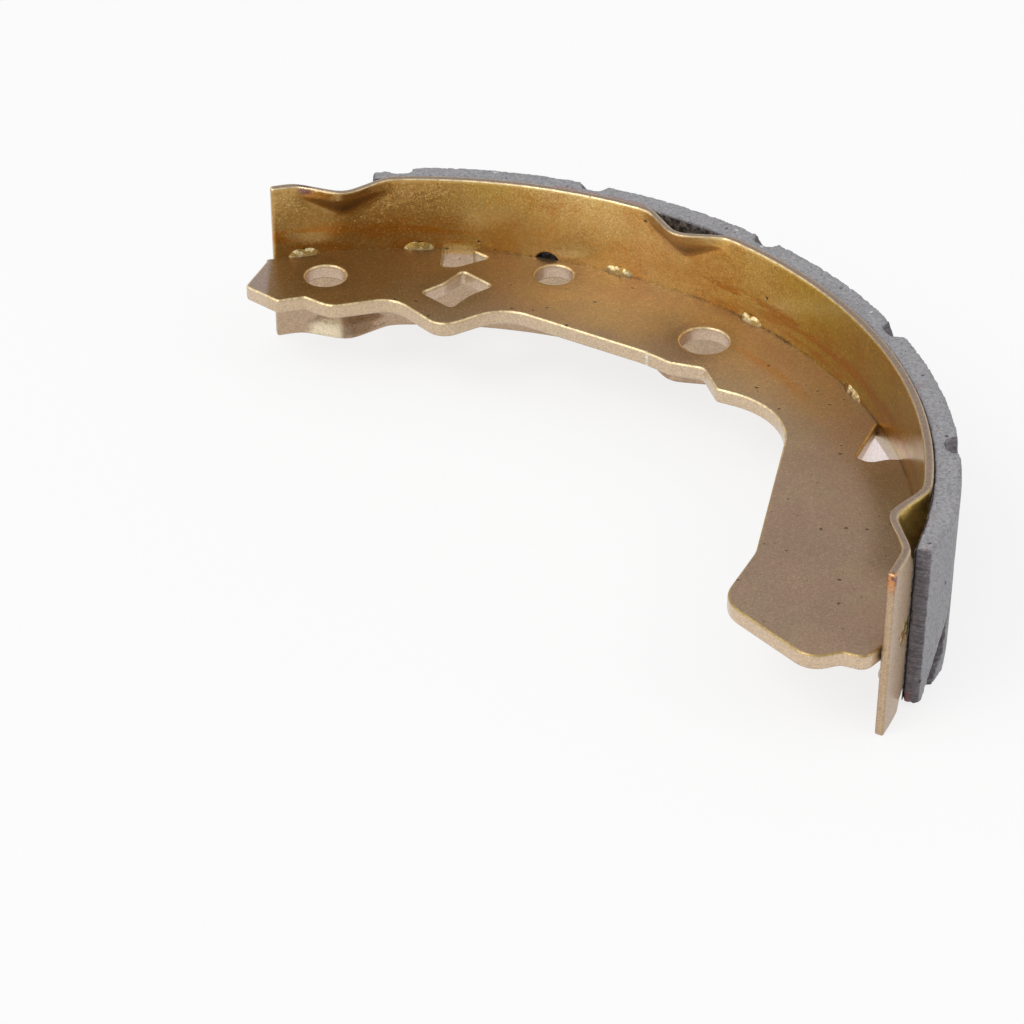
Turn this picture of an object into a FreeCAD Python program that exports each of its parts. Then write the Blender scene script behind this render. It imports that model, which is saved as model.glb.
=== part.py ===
import FreeCAD, Part
import math
import os
from collections import namedtuple

# Drum brake shoe with a bonded lining
# Origin on the drum's axis, in the plane of the rim's lower edge, on which the shoe lies
# +Z along the drum's axis, +X towards the middle of the wide half of the web
# Angles are in degrees round +Z from +X, lengths in millimetres

# Drum and lining
DRUM_RADIUS = 100.0
LINING_THICKNESS = 4.85
LINING_WIDTH = 33.2
LINING_ANGLES = (-21.0, 95.0)
BOND_THICKNESS = 0.15
BOND_INSET = 0.5

# Flats ground at both ends of the lining
LINING_TAPER_DEPTH = 1.9
LINING_TAPER_ANGLE = 6.4

# Slanted grooves of the lining
GROOVE_COUNT = 5
GROOVE_FIRST_ANGLE = 91.8
GROOVE_PITCH = 23.2
GROOVE_SWEEP = 17.8
GROOVE_DEPTH = 2.5
GROOVE_MOUTH = 5.9
GROOVE_FLOOR = 3.6
GROOVE_SECTIONS = 5

# Rim, the curved table that carries the lining
RIM_THICKNESS = 1.65
RIM_WIDTH = 34.6
RIM_ANGLES = (-27.0, 107.8)

# Stiffening dents pressed inwards at both edges of the rim:
# angle, half width, depth and nose radius at the upper edge
DENTS = (
    (99.0, 9.4, 5.9, 6.0),
    (54.25, 9.4, 6.1, 4.9),
    (-16.0, 9.6, 5.5, 4.6),
)
DENT_SHOULDER_HEIGHT = 2.4
LOWER_DENT_DEPTH = 5.2
LOWER_DENT_NOSE_RADIUS = 4.5
DENT_SHOULDER_RADIUS = 2.6
UPPER_DENT_HEIGHT = 8.2
LOWER_DENT_HEIGHT = 6.8
DENT_TAIL_SCALE = 0.06
DENT_ROOT = 0.16

# Web, the flat crescent welded inside the rim
WEB_THICKNESS = 3.2
WEB_BASE_HEIGHT = 15.3
WEB_ANGLES = (-26.2, 107.9)

# Corners of the web's free edge: angle, depth inside the rim, corner radius
WEB_CORNERS = (
    (108.6, -0.4, 1.2),
    (113.4, 8.1, 1.5),
    (110.4, 16.0, 1.0),
    (106.3, 16.3, 0.8),
    (103.1, 21.2, 5.0),
    (93.0, 19.6, 6.0),
    (84.8, 30.5, 4.4),
    (75.5, 20.8, 9.5),
    (50.0, 22.9, 15.0),
    (44.6, 22.5, 3.0),
    (40.0, 19.0, 1.8),
    (34.3, 21.8, 1.2),
    (24.5, 12.8, 15.5),
    (-11.8, 28.5, 10.0),
    (-26.2, 30.4, 7.0),
    (-32.4, 9.6, 5.0),
    (-29.4, 5.7, 1.5),
    (-29.0, 1.2, 2.5),
)

# Relief notches in the web's outer edge, with corners in the same form
SMALL_NOTCH_CORNERS = (
    (86.3, 6.8, 0.8),
    (84.4, 6.9, 3.0),
    (80.4, 2.4, 0.5),
    (82.4, 0.6, 1.5),
    (83.7, -2.7, 0.0),
    (86.4, -2.3, 0.0),
)
LARGE_NOTCH_CORNERS = (
    (11.4, 7.6, 0.8),
    (10.1, 5.7, 2.5),
    (10.4, 2.3, 3.0),
    (9.8, -3.1, 0.0),
    (13.9, -6.6, 0.0),
    (19.0, -1.8, 0.0),
)

# Round holes of the web, with the depth of their centres inside the rim
HOLD_DOWN_HOLE_DIAMETER = 9.6
HOLD_DOWN_HOLE_ANGLE = 45.1
HOLD_DOWN_HOLE_DEPTH = 11.7
SPRING_HOLE_DIAMETER = 7.6
SPRING_HOLE_ANGLE = 71.1
SPRING_HOLE_DEPTH = 5.7
LEVER_PIN_HOLE_DIAMETER = 8.2
LEVER_PIN_HOLE_ANGLE = 102.2
LEVER_PIN_HOLE_DEPTH = 9.1

# Waisted square hole of the web for a hook
WAISTED_HOLE_ANGLE = 83.5
WAISTED_HOLE_DEPTH = 15.6
WAISTED_HOLE_LENGTH = 11.6
WAISTED_HOLE_WIDTH = 8.2
WAISTED_HOLE_WAIST = 6.6
WAISTED_HOLE_TILT = 46.0
WAISTED_HOLE_CORNER_RADIUS = 0.8
WAISTED_HOLE_WAIST_RADIUS = 5.0

# Weld holes along the middle of the rim, and the plug welds that fill most of them
WELD_HOLE_DIAMETER = 5.0
WELD_ANGLES = (104.0, 89.4, 63.6, 44.1, 24.4, -22.0)
OPEN_WELD_HOLE_ANGLES = (73.2, -10.7)
WELD_FACE_RECESS = 0.25
WELD_CROWN_RISE = 0.9
WELD_CROWN_DIAMETER = 5.4
WELD_CROWN_SPREAD = 1.8
WELD_ROOT = 0.1

# Reach of a cutting tool past the faces that it cuts
TOOL_REACH = 2.0

# Radii and heights that follow from the sizes above
LINING_INNER_RADIUS = DRUM_RADIUS - LINING_THICKNESS
RIM_OUTER_RADIUS = LINING_INNER_RADIUS - BOND_THICKNESS
RIM_INNER_RADIUS = RIM_OUTER_RADIUS - RIM_THICKNESS
RIM_MIDDLE = RIM_WIDTH / 2.0
LINING_BASE_HEIGHT = (RIM_WIDTH - LINING_WIDTH) / 2.0
WEB_TOP_HEIGHT = WEB_BASE_HEIGHT + WEB_THICKNESS

UP = FreeCAD.Vector(0, 0, 1)
ORIGIN = FreeCAD.Vector(0, 0, 0)

# A dent, and one face of the sheet that it bends
Dent = namedtuple("Dent", "angle half_width depth edge_side height nose_round")
Skin = namedtuple("Skin", "wall_radius nose_radius nose_round shoulder_round back_radius overshoot")


# Point at a radius and an angle round the drum's axis
def polar(radius, angle, height=0.0):
    turn = math.radians(angle)
    return FreeCAD.Vector(radius * math.cos(turn), radius * math.sin(turn), height)


# Point at an angle and a depth inside the rim's inner face
def inside_rim(angle, depth, height=0.0):
    return polar(RIM_INNER_RADIUS - depth, angle, height)


# Strip between two radii, two angles and two heights
def arc_strip(inner, outer, angles, low, high):
    start, end = angles
    middle = (start + end) / 2.0
    edges = [
        Part.Arc(polar(outer, start, low), polar(outer, middle, low), polar(outer, end, low)).toShape(),
        Part.LineSegment(polar(outer, end, low), polar(inner, end, low)).toShape(),
        Part.Arc(polar(inner, end, low), polar(inner, middle, low), polar(inner, start, low)).toShape(),
        Part.LineSegment(polar(inner, start, low), polar(outer, start, low)).toShape(),
    ]
    return Part.Face(Part.Wire(edges)).extrude(UP * (high - low))


# Where a round of the given radius starts, turns and ends at a corner
def corner_round(before, corner, after, radius):
    to_before = (before - corner).normalize()
    to_after = (after - corner).normalize()
    half_turn = to_before.getAngle(to_after) / 2.0
    run = radius / math.tan(half_turn)
    inwards = (to_before + to_after).normalize()
    apex = corner + inwards * (radius / math.sin(half_turn) - radius)
    return corner + to_before * run, apex, corner + to_after * run


# Edges of a path with straight runs and rounded corners; corners are pairs of point and radius
def rounded_edges(start, corners, end):
    points = [start] + [point for point, radius in corners] + [end]
    edges = []
    here = start
    for place, (corner, radius) in enumerate(corners, 1):
        if radius > 0:
            entry, apex, leave = corner_round(points[place - 1], corner, points[place + 1], radius)
            edges.append(Part.LineSegment(here, entry).toShape())
            edges.append(Part.Arc(entry, apex, leave).toShape())
            here = leave
        else:
            edges.append(Part.LineSegment(here, corner).toShape())
            here = corner
    edges.append(Part.LineSegment(here, end).toShape())
    return edges


# Closed outline with rounded corners, which starts in the middle of its last side
def rounded_outline(corners):
    seam = (corners[-1][0] + corners[0][0]) / 2.0
    return Part.Wire(rounded_edges(seam, corners, seam))


# Corners given by angle and depth inside the rim, as points at one height
def rim_corners(corners, height):
    return [(inside_rim(angle, depth, height), radius) for angle, depth, radius in corners]


# Pressed profile of a dent at the rim's edge, as corners in the plane of that edge:
# straight shoulders in the wall, two flanks and a rounded nose towards the axis
def dent_corners(dent, skin, height):
    outwards = polar(1.0, dent.angle)
    sideways = polar(1.0, dent.angle + 90.0)
    half_angle = math.degrees(dent.half_width / RIM_INNER_RADIUS)
    corners = [(polar(skin.nose_radius, dent.angle, height), skin.nose_round)]
    for side in (1, -1):
        shoulder = polar(skin.wall_radius, dent.angle + side * half_angle, height)
        wing = shoulder + polar(1.0, dent.angle + side * (half_angle + 90.0)) * DENT_SHOULDER_RADIUS
        back = outwards * skin.back_radius + sideways * (side * (dent.half_width + DENT_SHOULDER_RADIUS))
        back.z = height
        pair = [(shoulder, skin.shoulder_round), (wing, 0.0), (back, 0.0)]
        corners = corners + pair if side > 0 else pair[::-1] + corners
    return corners


# The same corners drawn towards the point where the dent runs out
def shrunk_corners(corners, tail, scale, depth_scale, angle, height):
    outwards = polar(1.0, angle)
    moved = []
    for point, radius in corners:
        offset = point - tail
        offset.z = 0.0
        radial = outwards * offset.dot(outwards)
        place = tail + radial * depth_scale + (offset - radial) * scale
        place.z = height
        moved.append((place, radius * min(scale, depth_scale)))
    return moved


# Solid of a dent's profile from the rim's edge to its tail
def dent_solid(dent, skin):
    edge_height = RIM_WIDTH if dent.edge_side > 0 else 0.0
    tail = polar(skin.wall_radius, dent.angle, edge_height - dent.edge_side * dent.height)
    corners = dent_corners(dent, skin, edge_height)
    tail_level = dent.height * (1.0 - DENT_TAIL_SCALE)
    wires = []
    for level, scale in ((-skin.overshoot, 1.0), (DENT_SHOULDER_HEIGHT, 1.0), (tail_level, DENT_TAIL_SCALE)):
        depth_scale = 1.0 - level / dent.height
        height = edge_height - dent.edge_side * level
        wires.append(rounded_outline(shrunk_corners(corners, tail, scale, depth_scale, dent.angle, height)))
    return Part.makeLoft(wires, True, True)


# Inner face of the sheet in a dent, which adds to the rim
def bump_skin(dent):
    return Skin(
        wall_radius=RIM_INNER_RADIUS + DENT_ROOT,
        nose_radius=RIM_INNER_RADIUS - dent.depth,
        nose_round=dent.nose_round,
        shoulder_round=DENT_SHOULDER_RADIUS,
        back_radius=(RIM_INNER_RADIUS + RIM_OUTER_RADIUS) / 2.0,
        overshoot=0.0,
    )


# Outer face of the sheet in a dent, which is cut from the rim
def pocket_skin(dent):
    return Skin(
        wall_radius=RIM_OUTER_RADIUS + DENT_ROOT,
        nose_radius=RIM_OUTER_RADIUS - dent.depth,
        nose_round=dent.nose_round - RIM_THICKNESS,
        shoulder_round=DENT_SHOULDER_RADIUS + RIM_THICKNESS,
        back_radius=RIM_OUTER_RADIUS + TOOL_REACH,
        overshoot=TOOL_REACH,
    )


# All dents of both edges
def rim_dents():
    dents = []
    for angle, half_width, depth, nose_round in DENTS:
        dents.append(Dent(angle, half_width, depth, 1, UPPER_DENT_HEIGHT, nose_round))
        dents.append(Dent(angle, half_width, LOWER_DENT_DEPTH, -1, LOWER_DENT_HEIGHT, LOWER_DENT_NOSE_RADIUS))
    return dents


# Rim with its dents and weld holes
def make_rim():
    rim = arc_strip(RIM_INNER_RADIUS, RIM_OUTER_RADIUS, RIM_ANGLES, 0.0, RIM_WIDTH)
    dents = rim_dents()
    rim = rim.fuse([dent_solid(dent, bump_skin(dent)) for dent in dents])
    rim = rim.cut([dent_solid(dent, pocket_skin(dent)) for dent in dents])
    rim = rim.cut([weld_hole(angle) for angle in WELD_ANGLES + OPEN_WELD_HOLE_ANGLES])
    return rim.removeSplitter()


# Cylinder through the rim at a weld hole
def weld_hole(angle):
    start = polar(RIM_INNER_RADIUS - TOOL_REACH, angle, RIM_MIDDLE)
    length = RIM_THICKNESS + 2.0 * TOOL_REACH
    return Part.makeCylinder(WELD_HOLE_DIAMETER / 2.0, length, start, polar(1.0, angle))


# Web blank: free edge from the corners, outer edge along the rim's inner face
def make_web_blank():
    low_end, high_end = WEB_ANGLES
    start = inside_rim(high_end, 0.0, WEB_BASE_HEIGHT)
    end = inside_rim(low_end, 0.0, WEB_BASE_HEIGHT)
    edges = rounded_edges(start, rim_corners(WEB_CORNERS, WEB_BASE_HEIGHT), end)
    middle = inside_rim((low_end + high_end) / 2.0, 0.0, WEB_BASE_HEIGHT)
    edges.append(Part.Arc(end, middle, start).toShape())
    return Part.Face(Part.Wire(edges)).extrude(UP * WEB_THICKNESS)


# Tool that punches an outline through the web
def web_punch(corners):
    low = [(FreeCAD.Vector(point.x, point.y, WEB_BASE_HEIGHT - TOOL_REACH), radius) for point, radius in corners]
    return Part.Face(rounded_outline(low)).extrude(UP * (WEB_THICKNESS + 2.0 * TOOL_REACH))


# Round punch through the web
def round_punch(diameter, angle, depth):
    foot = inside_rim(angle, depth, WEB_BASE_HEIGHT - TOOL_REACH)
    return Part.makeCylinder(diameter / 2.0, WEB_THICKNESS + 2.0 * TOOL_REACH, foot, UP)


# Corners of the waisted square hole, whose long sides draw in at the middle
def waisted_hole_corners():
    centre = inside_rim(WAISTED_HOLE_ANGLE, WAISTED_HOLE_DEPTH)
    along = polar(1.0, WAISTED_HOLE_TILT)
    across = polar(1.0, WAISTED_HOLE_TILT + 90.0)
    half_length = WAISTED_HOLE_LENGTH / 2.0
    half_width = WAISTED_HOLE_WIDTH / 2.0
    half_waist = WAISTED_HOLE_WAIST / 2.0
    corners = []
    for side in (1, -1):
        for run, half, radius in (
            (1, half_width, WAISTED_HOLE_CORNER_RADIUS),
            (0, half_waist, WAISTED_HOLE_WAIST_RADIUS),
            (-1, half_width, WAISTED_HOLE_CORNER_RADIUS),
        ):
            place = centre + along * (side * run * half_length) + across * (side * half)
            corners.append((place, radius))
    return corners


# Web with its notches and holes
def make_web():
    punches = [
        web_punch(rim_corners(SMALL_NOTCH_CORNERS, 0.0)),
        web_punch(rim_corners(LARGE_NOTCH_CORNERS, 0.0)),
        web_punch(waisted_hole_corners()),
        round_punch(HOLD_DOWN_HOLE_DIAMETER, HOLD_DOWN_HOLE_ANGLE, HOLD_DOWN_HOLE_DEPTH),
        round_punch(SPRING_HOLE_DIAMETER, SPRING_HOLE_ANGLE, SPRING_HOLE_DEPTH),
        round_punch(LEVER_PIN_HOLE_DIAMETER, LEVER_PIN_HOLE_ANGLE, LEVER_PIN_HOLE_DEPTH),
    ]
    return make_web_blank().cut(punches).removeSplitter()


# Ball that forms one half of a weld's crown
def crown_ball(angle):
    half = WELD_CROWN_DIAMETER / 2.0
    ball_radius = (half ** 2 + WELD_CROWN_RISE ** 2) / (2.0 * WELD_CROWN_RISE)
    return Part.makeSphere(ball_radius, polar(RIM_INNER_RADIUS - WELD_CROWN_RISE + ball_radius, angle, RIM_MIDDLE))


# Plug weld: a disc in the weld hole, and a crown of two caps side by side along the web
def make_weld(angle, web):
    bore = Part.makeCylinder(RIM_INNER_RADIUS, RIM_WIDTH)
    foot = polar(RIM_INNER_RADIUS - WELD_ROOT, angle, RIM_MIDDLE)
    disc_length = WELD_ROOT + RIM_THICKNESS - WELD_FACE_RECESS
    disc = Part.makeCylinder(WELD_HOLE_DIAMETER / 2.0, disc_length, foot, polar(1.0, angle))
    half_spread = math.degrees(WELD_CROWN_SPREAD / 2.0 / RIM_INNER_RADIUS)
    balls = crown_ball(angle - half_spread).fuse(crown_ball(angle + half_spread))
    return disc.fuse(balls.common(bore)).cut(web)


# All plug welds as one group
def make_welds(web):
    return Part.makeCompound([make_weld(angle, web) for angle in WELD_ANGLES])


# Trapezoid across a groove at one height of the lining
def groove_section(top_angle, height):
    share = (RIM_MIDDLE + LINING_WIDTH / 2.0 - height) / LINING_WIDTH
    angle = top_angle - GROOVE_SWEEP * share
    floor_radius = DRUM_RADIUS - GROOVE_DEPTH
    mouth_radius = DRUM_RADIUS + TOOL_REACH
    flare = (GROOVE_MOUTH - GROOVE_FLOOR) / GROOVE_DEPTH
    reach_width = GROOVE_MOUTH + flare * TOOL_REACH
    floor_half = math.degrees(GROOVE_FLOOR / 2.0 / floor_radius)
    mouth_half = math.degrees(reach_width / 2.0 / mouth_radius)
    points = [
        polar(floor_radius, angle - floor_half, height),
        polar(floor_radius, angle + floor_half, height),
        polar(mouth_radius, angle + mouth_half, height),
        polar(mouth_radius, angle - mouth_half, height),
    ]
    return Part.makePolygon(points + points[:1])


# Tool that cuts one slanted groove right across the lining
def groove_tool(top_angle):
    low = LINING_BASE_HEIGHT - TOOL_REACH
    rise = (LINING_WIDTH + 2.0 * TOOL_REACH) / (GROOVE_SECTIONS - 1)
    sections = [groove_section(top_angle, low + step * rise) for step in range(GROOVE_SECTIONS)]
    return Part.makeLoft(sections, True, False)


# Lining blank: an arc strip whose outer face runs flat towards both ends
def make_lining_blank():
    start, end = LINING_ANGLES
    middle = (start + end) / 2.0
    taper_start = start + LINING_TAPER_ANGLE
    taper_end = end - LINING_TAPER_ANGLE
    tip_radius = DRUM_RADIUS - LINING_TAPER_DEPTH
    low = LINING_BASE_HEIGHT
    first = polar(DRUM_RADIUS, taper_start, low)
    last = polar(DRUM_RADIUS, taper_end, low)
    inner_first = polar(LINING_INNER_RADIUS, start, low)
    inner_last = polar(LINING_INNER_RADIUS, end, low)
    edges = [
        Part.Arc(first, polar(DRUM_RADIUS, middle, low), last).toShape(),
        Part.LineSegment(last, polar(tip_radius, end, low)).toShape(),
        Part.LineSegment(polar(tip_radius, end, low), inner_last).toShape(),
        Part.Arc(inner_last, polar(LINING_INNER_RADIUS, middle, low), inner_first).toShape(),
        Part.LineSegment(inner_first, polar(tip_radius, start, low)).toShape(),
        Part.LineSegment(polar(tip_radius, start, low), first).toShape(),
    ]
    return Part.Face(Part.Wire(edges)).extrude(UP * LINING_WIDTH)


# Lining with its grooves
def make_lining():
    tools = [groove_tool(GROOVE_FIRST_ANGLE - number * GROOVE_PITCH) for number in range(GROOVE_COUNT)]
    return make_lining_blank().cut(tools)


# Film of adhesive between rim and lining, open where the dents leave the lining free
def make_bond():
    low = LINING_BASE_HEIGHT + BOND_INSET
    high = LINING_BASE_HEIGHT + LINING_WIDTH - BOND_INSET
    return arc_strip(RIM_OUTER_RADIUS, LINING_INNER_RADIUS, LINING_ANGLES, low, high)


def main():
    os.makedirs("parts", exist_ok=True)
    web = make_web()
    nodes = {
        "rim": make_rim(),
        "web": web,
        "plug_welds": make_welds(web),
        "lining": make_lining(),
        "bond_film": make_bond(),
    }
    for name, shape in nodes.items():
        shape.exportStep("parts/" + name + ".step")
        print(name, shape.isValid(), len(shape.Solids), round(shape.Volume, 1))


main()
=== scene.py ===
import math

import bmesh
import bpy
from mathutils import Matrix, Vector, noise
from mathutils.bvhtree import BVHTree


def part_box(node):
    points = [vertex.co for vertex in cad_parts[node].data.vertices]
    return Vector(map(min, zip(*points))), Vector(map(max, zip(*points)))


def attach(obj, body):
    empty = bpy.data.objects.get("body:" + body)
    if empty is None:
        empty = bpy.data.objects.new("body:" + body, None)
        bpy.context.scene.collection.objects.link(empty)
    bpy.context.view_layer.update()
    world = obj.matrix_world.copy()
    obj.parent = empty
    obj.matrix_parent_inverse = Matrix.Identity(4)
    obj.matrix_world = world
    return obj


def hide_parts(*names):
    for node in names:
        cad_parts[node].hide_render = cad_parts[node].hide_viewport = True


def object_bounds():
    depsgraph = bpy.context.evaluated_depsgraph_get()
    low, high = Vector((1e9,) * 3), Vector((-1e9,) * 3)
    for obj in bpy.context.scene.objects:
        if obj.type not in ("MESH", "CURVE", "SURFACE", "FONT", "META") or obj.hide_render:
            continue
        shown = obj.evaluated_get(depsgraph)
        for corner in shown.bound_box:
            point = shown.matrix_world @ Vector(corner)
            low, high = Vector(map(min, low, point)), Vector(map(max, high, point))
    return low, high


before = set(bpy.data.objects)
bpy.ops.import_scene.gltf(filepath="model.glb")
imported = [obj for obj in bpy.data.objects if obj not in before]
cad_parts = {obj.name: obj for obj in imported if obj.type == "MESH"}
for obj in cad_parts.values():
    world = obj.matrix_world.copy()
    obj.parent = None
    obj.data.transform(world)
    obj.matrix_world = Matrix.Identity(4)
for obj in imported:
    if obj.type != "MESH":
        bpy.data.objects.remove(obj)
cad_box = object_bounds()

bl_info = {
    "name": "Drum Brake Shoe",
    "version": (1, 0, 0),
    "blender": (4, 5, 0),
    "location": "View3D > Sidebar > Brake Shoe",
    "description": "Dresses a packed drum brake shoe with painted steel and a worn friction lining",
    "category": "Object",
}

MM = 0.001
BODY = "root"

# Gap below which two vertices are one
TINY = 0.001 * MM

# Sizes of the part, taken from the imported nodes
DRUM_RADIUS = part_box("lining")[1].x
RIM_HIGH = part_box("rim")[1]
RIM_OUTER_RADIUS = RIM_HIGH.x
RIM_THICKNESS = 1.65 * MM
RIM_INNER_RADIUS = RIM_OUTER_RADIUS - RIM_THICKNESS
RIM_TOP = RIM_HIGH.z
RIM_MIDDLE = RIM_TOP / 2.0
WEB_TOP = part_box("web")[1].z

# Ends of the rim, in degrees round the drum's axis from +X
WIDE_END = -27.0
NARROW_END = 107.8

# The web's holes: angle in degrees, distance from the rim and radius
WEB_HOLES = (
    (45.1, 11.7 * MM, 4.8 * MM),
    (71.1, 5.7 * MM, 3.8 * MM),
    (102.2, 9.1 * MM, 4.1 * MM),
    (83.5, 15.6 * MM, 5.2 * MM),
)

# Places of single marks in the paint, and of painted shade and reflections: angles round the drum's
# axis, radii, heights and one X
WEB_RUN_ANGLE = 0.62
WEB_RUN_RADIUS = 84.5 * MM
WIDE_DENT_SHADE_ANGLE = -0.03
FAR_TIP_X = -29.8 * MM
SCRATCH_X = 46.2 * MM
LIT_WALL_ANGLE = math.radians(57.0)
CALM_WALL_ANGLE = 1.16
RUN_BAND_HEIGHT = WEB_TOP + 4.8 * MM
SEAM_HEIGHT = WEB_TOP + 0.1 * MM
NARROW_DENT_ANGLE = math.radians(99.8)
DRIP_ANGLE = math.radians(103.7)
RED_GLUE_ANGLE = math.radians(67.5)

# Tints of these marks, of painted shade, highlights and reflections, and of single faces
PIT_SHADE_BROWN = (0.07, 0.045, 0.035)
NARROW_WEB_BROWN = (0.36, 0.2, 0.055)
WEB_SHADE_BROWN = (0.2, 0.125, 0.04)
FAR_TIP_ROSE = (0.52, 0.39, 0.32)
SIDE_FACE_REFLECTION_TAN = (0.66, 0.51, 0.35)
HOLE_WALL_REFLECTION_ROSE = (0.62, 0.45, 0.33)
FRONT_EDGE_SHADE_GOLD = (0.42, 0.28, 0.07)
SCRATCH_WHITE = (0.9, 0.88, 0.85)
DEEP_GOLD = (0.52, 0.31, 0.015)
NARROW_RIM_BROWN = (0.47, 0.255, 0.085)
POCKET_HIGHLIGHT_GOLD = (0.72, 0.48, 0.11)
DENT_SHADE_BROWN = (0.15, 0.1, 0.035)
SEAM_BROWN = (0.13, 0.09, 0.05)
CROWN_TAUPE = (0.43, 0.31, 0.245)
LOWER_WALL_REFLECTION_ROSE = (0.96, 0.82, 0.8)
LOWER_DENT_HIGHLIGHT_CREAM = (0.95, 0.82, 0.58)
CORNER_ORANGE = (0.62, 0.22, 0.04)
CORNER_PLUM = (0.16, 0.06, 0.08)

# Metallic share and the range of roughness of the paint on each sheet
WEB_SHEEN = (0.8, 0.33, 0.42)
RIM_SHEEN = (1.0, 0.27, 0.35)

# Contrast between the flakes of the metallic paint
FLAKE_CONTRAST = 0.16

# Bend above which an edge is rounded, or shaded sharp
SHARP_BEND = math.radians(38.0)

# Extra edges that the eased dents need: cuts across the rim to each side of a dent's nose,
# and level cuts under the rim's edges
DENT_CUTS = 14
DENT_CUT_STEP = 0.0105
LEVEL_CUTS = 9
LEVEL_CUT_STEP = 1.0 * MM

# How far a dent's easing goes along the rim, as an angle, and down from the rim's edges
DENT_SPREAD = 0.14
DENT_HEIGHT = 9.5 * MM

# Width and depth of the shallow pits all over the lining
PIT_SIZE = 0.9 * MM
PIT_DEPTH = 0.12 * MM

# Lamps: name, place and share of the key lamp's power
LAMPS = (("key", (-0.7, -0.5, 1.2), 1.0), ("fill", (1.1, -0.3, 0.9), 0.4))
LAMP_SIZE = 0.6

# Direction in which the studio is bright
BRIGHT_SIDE = (-0.74, -0.36, 0.57)

# Camera: place in metres, pitch and roll in radians, lens and sensor in millimetres
CAMERA_PLACE = (0.019985, -0.49468, 0.3612)
CAMERA_PITCH = 0.6070754
CAMERA_ROLL = 0.0024079
CAMERA_LENS = 116.44
SENSOR_WIDTH = 36.0


# Sizes and colours that a user can change


class ShoeSteel(bpy.types.PropertyGroup):
    """Edges and paint of the rim and the web"""

    web_edge_radius: bpy.props.FloatProperty(
        name="Web Edge Radius",
        description="Rounding of the web's edges under the paint",
        default=0.55 * MM,
        min=0.0,
        unit="LENGTH",
    )
    rim_edge_radius: bpy.props.FloatProperty(
        name="Rim Edge Radius",
        description="Rounding of the rim's edges under the paint",
        default=0.42 * MM,
        min=0.0,
        unit="LENGTH",
    )
    bend_reach: bpy.props.FloatProperty(
        name="Bend Reach",
        description="How far the bends of the pressed dents are eased to each side",
        default=2.4 * MM,
        min=0.2 * MM,
        unit="LENGTH",
    )
    edge_segments: bpy.props.IntProperty(
        name="Edge Segments",
        description="Facets across one rounded edge",
        default=3,
        min=1,
        max=6,
    )
    paint_tan: bpy.props.FloatVectorProperty(
        name="Tan",
        description="Thin metallic paint on the open faces",
        default=(0.47, 0.33, 0.215),
        size=3,
        subtype="COLOR",
    )
    # Golden tone of the paint, partly a painted reflection of the brown shoe in its metallic finish
    gold_paint_and_reflection: bpy.props.FloatVectorProperty(
        name="Gold",
        description="Thick metallic paint that gathers in the corners",
        default=(0.54, 0.355, 0.045),
        size=3,
        subtype="COLOR",
    )
    paint_run: bpy.props.FloatVectorProperty(
        name="Run",
        description="Orange-brown runs of the lacquer",
        default=(0.5, 0.2, 0.014),
        size=3,
        subtype="COLOR",
    )
    # Colour of the painted highlights on the rounded edges and on glinting flakes
    highlight_gold: bpy.props.FloatVectorProperty(
        name="Highlight Gold",
        description="Bright paint on the rounded edges",
        default=(0.95, 0.76, 0.42),
        size=3,
        subtype="COLOR",
    )


class ShoeFriction(bpy.types.PropertyGroup):
    """Grain and chips of the lining"""

    grain_size: bpy.props.FloatProperty(
        name="Grain Size",
        description="Length of one facet of the moulded surface",
        default=0.45 * MM,
        min=0.4 * MM,
        unit="LENGTH",
    )
    chip_depth: bpy.props.FloatProperty(
        name="Chip Depth",
        description="Depth of the chips along the lining's edges",
        default=0.4 * MM,
        min=0.0,
        unit="LENGTH",
    )
    chip_size: bpy.props.FloatProperty(
        name="Chip Size",
        description="Width of one chip along an edge",
        default=0.95 * MM,
        min=0.2 * MM,
        unit="LENGTH",
    )
    stone_grey: bpy.props.FloatVectorProperty(
        name="Grey",
        description="Resin and mineral filler of the lining",
        default=(0.33, 0.325, 0.34),
        size=3,
        subtype="COLOR",
    )
    stone_dark: bpy.props.FloatVectorProperty(
        name="Dark Grey",
        description="Cut faces and groove walls of the lining",
        default=(0.115, 0.1, 0.113),
        size=3,
        subtype="COLOR",
    )


class ShoeStage(bpy.types.PropertyGroup):
    """Floor, light and camera"""

    floor_size: bpy.props.FloatProperty(
        name="Floor Size",
        description="Width of the floor",
        default=6.0,
        min=1.0,
        unit="LENGTH",
    )
    key_power: bpy.props.FloatProperty(
        name="Key Power",
        description="Power of the large soft lamp",
        default=5.0,
        min=0.0,
        unit="POWER",
    )
    sky_level: bpy.props.FloatProperty(
        name="Sky Level",
        description="Brightness of the studio behind and above the shoe",
        default=0.5,
        min=0.0,
        max=1.0,
        subtype="FACTOR",
    )


# Helpers for shader nodes


def add_node(tree, kind, inputs=None, **settings):
    """Adds a node, sets its options, and links or fills its inputs."""
    made = tree.nodes.new(kind)
    for name, value in settings.items():
        setattr(made, name, value)
    for name, value in (inputs or {}).items():
        socket = made.inputs[name]
        if isinstance(value, bpy.types.NodeSocket):
            tree.links.new(value, socket)
        else:
            socket.default_value = value
    return made


def math_node(tree, operation, first, second=None, clamp=False):
    """A Math node's output."""
    inputs = {0: first}
    if second is not None:
        inputs[1] = second
    return add_node(tree, "ShaderNodeMath", inputs, operation=operation, use_clamp=clamp).outputs[0]


def times(tree, *values):
    """The product of several values."""
    product = values[0]
    for value in values[1:]:
        product = math_node(tree, "MULTIPLY", product, value)
    return product


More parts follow.
